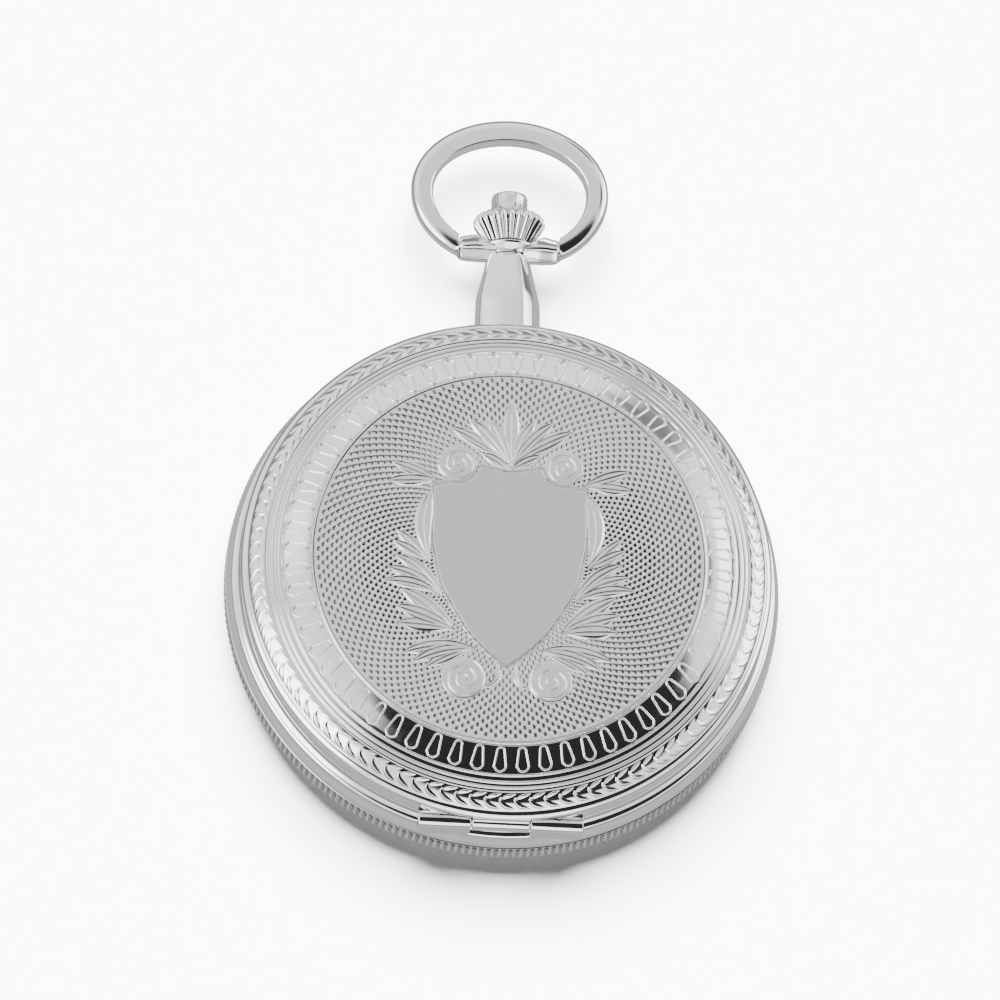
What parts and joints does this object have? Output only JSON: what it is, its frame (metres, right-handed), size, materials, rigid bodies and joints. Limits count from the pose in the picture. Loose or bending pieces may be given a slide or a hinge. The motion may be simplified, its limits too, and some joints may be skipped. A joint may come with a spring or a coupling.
{
  "type": "pocket watch",
  "caption": "Round hunter pocket watch: engraved spring lid over the dial, hand-wound movement, crown in the pendant and an oval bow for a chain.",
  "frame": {"origin": "centre of the flat on the back cover, on the axis of the hands", "axes": "+Z out of the front lid, +Y towards the pendant and bow at 12 o'clock, +X towards 3 o'clock"},
  "size_m": [0.048, 0.0672, 0.0123],
  "materials": {
    "polished_case": "polished chrome plate",
    "engraved_lid": "chrome plate, engine-turned centre and polished engraved border",
    "steel": "fine-ground steel",
    "gilt_brass": "gilt, circular grained",
    "nickel_movement": "nickel plate with striped finish",
    "ruby": "polished synthetic ruby",
    "blued_steel": "heat-blued steel",
    "dial_enamel": "white enamel",
    "crystal_glass": "clear mineral crystal"
  },
  "bodies": {
    "case": {"case_middle": "polished_case", "back_cover": "polished_case", "bezel": "polished_case", "crystal": "crystal_glass", "hinge_pin": "steel", "lid_lift_spring": "steel", "pendant_neck": "polished_case", "bow_collar": "polished_case", "dial": "dial_enamel", "main_plate": "nickel_movement", "movement_ring": "nickel_movement", "barrel_bridge": "nickel_movement", "train_bridge": "nickel_movement", "balance_cock": "nickel_movement", "pallet_bridge": "nickel_movement", "third_jewel": "ruby", "fourth_jewel": "ruby", "escape_jewel": "ruby", "balance_jewel": "ruby", "crown_wheel_screw": "blued_steel", "click_spring": "blued_steel", "hairspring": "blued_steel", "barrel_bridge_screw_1": "blued_steel", "barrel_bridge_screw_2": "blued_steel", "train_bridge_screw_1": "blued_steel", "train_bridge_screw_2": "blued_steel", "balance_cock_screw": "blued_steel", "case_screw": "blued_steel"},
    "lid": {"front_lid": "engraved_lid"},
    "bow_ring": {"bow": "polished_case"},
    "latch": {"lid_latch": "steel"},
    "press_tube": {"press_sleeve": "steel"},
    "pull_ring": {"pull_clip": "steel"},
    "winder": {"crown": "polished_case", "winding_stem": "steel"},
    "clutch": {"sliding_pinion": "steel"},
    "pinion": {"winding_pinion": "steel"},
    "crown_gear": {"crown_wheel": "steel"},
    "ratchet": {"ratchet_wheel": "steel", "ratchet_screw": "blued_steel", "barrel_arbor": "steel"},
    "click_lever": {"click": "steel"},
    "set_lever": {"setting_lever": "steel"},
    "yoke_lever": {"yoke": "steel"},
    "seconds": {"fourth_wheel": "gilt_brass", "seconds_hand": "blued_steel"},
    "third": {"third_wheel": "gilt_brass"},
    "minutes": {"centre_wheel": "gilt_brass", "cannon_pinion": "steel", "minute_hand": "blued_steel"},
    "barrel": {"barrel_drum": "gilt_brass", "mainspring": "blued_steel"},
    "escape": {"escape_wheel": "steel"},
    "minute_work": {"minute_wheel": "gilt_brass"},
    "setting_work": {"intermediate_wheel": "gilt_brass"},
    "hours": {"hour_wheel": "gilt_brass", "hour_hand": "blued_steel"},
    "fork": {"pallet_fork": "steel"},
    "balance": {"balance_wheel": "gilt_brass"},
    "index": {"regulator": "steel"}
  },
  "joints": [
    {"name": "lid_hinge", "type": "hinge", "parent": "case", "child": "lid", "pos_m": [0, -0.02275, 0.00785], "axis": [1, 0, 0], "range_deg": [0, 95]},
    {"name": "bow_swing", "type": "hinge", "parent": "case", "child": "bow_ring", "pos_m": [0, 0.0315, 0.005], "axis": [1, 0, 0], "range_deg": [-100, 100]},
    {"name": "crown_press", "type": "slide", "parent": "case", "child": "press_tube", "axis": [0, 1, 0], "range_m": [-0.0006, 0], "stiffness_N_per_m": 3000},
    {"name": "latch_release", "type": "slide", "parent": "case", "child": "latch", "axis": [0, 1, 0], "range_m": [-0.00025, 0]},
    {"name": "crown_pull", "type": "slide", "parent": "press_tube", "child": "pull_ring", "axis": [0, 1, 0], "range_m": [0, 0.001]},
    {"name": "crown_turn", "type": "hinge", "parent": "pull_ring", "child": "winder", "pos_m": [0, 0.0345, 0.005], "axis": [0, 1, 0], "continuous": true},
    {"name": "clutch_shift", "type": "slide", "parent": "winder", "child": "clutch", "axis": [0, 1, 0], "range_m": [-0.0018, 0]},
    {"name": "winding_pinion_turn", "type": "hinge", "parent": "case", "child": "pinion", "pos_m": [0, 0.0169, 0.005], "axis": [0, 1, 0], "continuous": true},
    {"name": "crown_wheel_turn", "type": "hinge", "parent": "case", "child": "crown_gear", "pos_m": [0, 0.0145, 0.00185], "axis": [0, 0, 1], "continuous": true},
    {"name": "ratchet_turn", "type": "hinge", "parent": "case", "child": "ratchet", "pos_m": [0.00664, 0.00637, 0.00185], "axis": [0, 0, 1], "continuous": true},
    {"name": "click_lift", "type": "hinge", "parent": "case", "child": "click_lever", "pos_m": [-0.00234, 0.00605, 0.00185], "axis": [0, 0, 1], "range_deg": [0, 8], "stiffness_Nm_per_rad": 0.0001},
    {"name": "setting_lever_turn", "type": "hinge", "parent": "case", "child": "set_lever", "pos_m": [0.0032, 0.0175, 0.00624], "axis": [0, 0, 1], "range_deg": [-18, 0]},
    {"name": "yoke_turn", "type": "hinge", "parent": "case", "child": "yoke_lever", "pos_m": [-0.0044, 0.01518, 0.005], "axis": [0, 0, 1], "range_deg": [-12.3, 0]},
    {"name": "seconds_run", "type": "hinge", "parent": "case", "child": "seconds", "pos_m": [0, -0.01035, 0.005], "axis": [0, 0, -1], "continuous": true},
    {"name": "third_run", "type": "hinge", "parent": "case", "child": "third", "pos_m": [0.00285, -0.00612, 0.005], "axis": [0, 0, -1], "continuous": true},
    {"name": "minutes_run", "type": "hinge", "parent": "case", "child": "minutes", "pos_m": [0, 0, 0.005], "axis": [0, 0, -1], "continuous": true},
    {"name": "barrel_run", "type": "hinge", "parent": "case", "child": "barrel", "pos_m": [0.00664, 0.00637, 0.005], "axis": [0, 0, -1], "continuous": true},
    {"name": "escape_run", "type": "hinge", "parent": "case", "child": "escape", "pos_m": [-0.00425, -0.00921, 0.005], "axis": [0, 0, -1], "continuous": true},
    {"name": "minute_work_run", "type": "hinge", "parent": "case", "child": "minute_work", "pos_m": [-0.00222, 0.00284, 0.0076], "axis": [0, 0, -1], "continuous": true},
    {"name": "setting_work_run", "type": "hinge", "parent": "case", "child": "setting_work", "pos_m": [-0.001, 0.00856, 0.0076], "axis": [0, 0, -1], "continuous": true},
    {"name": "hours_run", "type": "hinge", "parent": "case", "child": "hours", "pos_m": [0, 0, 0.0078], "axis": [0, 0, -1], "continuous": true},
    {"name": "fork_swing", "type": "hinge", "parent": "case", "child": "fork", "pos_m": [-0.00726, -0.00786, 0.005], "axis": [0, 0, 1], "range_deg": [-5, 5]},
    {"name": "balance_swing", "type": "hinge", "parent": "case", "child": "balance", "pos_m": [-0.01037, -0.00648, 0.005], "axis": [0, 0, 1], "range_deg": [-135, 135], "stiffness_Nm_per_rad": 0.0000005},
    {"name": "regulator_shift", "type": "hinge", "parent": "case", "child": "index", "pos_m": [-0.01037, -0.00648, 0.002], "axis": [0, 0, 1], "range_deg": [-12, 12]}
  ],
  "couplings": [
    {"joint": "latch_release", "follows": "crown_press", "ratio": 0.4},
    {"joint": "clutch_shift", "follows": "crown_pull", "ratio": -1.7},
    {"joint": "setting_lever_turn", "follows": "crown_pull", "rad_per_m": -312.5},
    {"joint": "yoke_turn", "follows": "crown_pull", "rad_per_m": -212.12},
    {"joint": "winding_pinion_turn", "follows": "crown_turn", "ratio": 1},
    {"joint": "crown_wheel_turn", "follows": "crown_turn", "ratio": 0.57143},
    {"joint": "ratchet_turn", "follows": "crown_turn", "ratio": -0.29814},
    {"joint": "third_run", "follows": "seconds_run", "ratio": -0.13333},
    {"joint": "minutes_run", "follows": "seconds_run", "ratio": 0.016667},
    {"joint": "barrel_run", "follows": "seconds_run", "ratio": -0.0025},
    {"joint": "escape_run", "follows": "seconds_run", "ratio": -10},
    {"joint": "minute_work_run", "follows": "seconds_run", "ratio": -0.0055556},
    {"joint": "setting_work_run", "follows": "seconds_run", "ratio": 0.0047619},
    {"joint": "hours_run", "follows": "seconds_run", "ratio": 0.0013889}
  ]
}
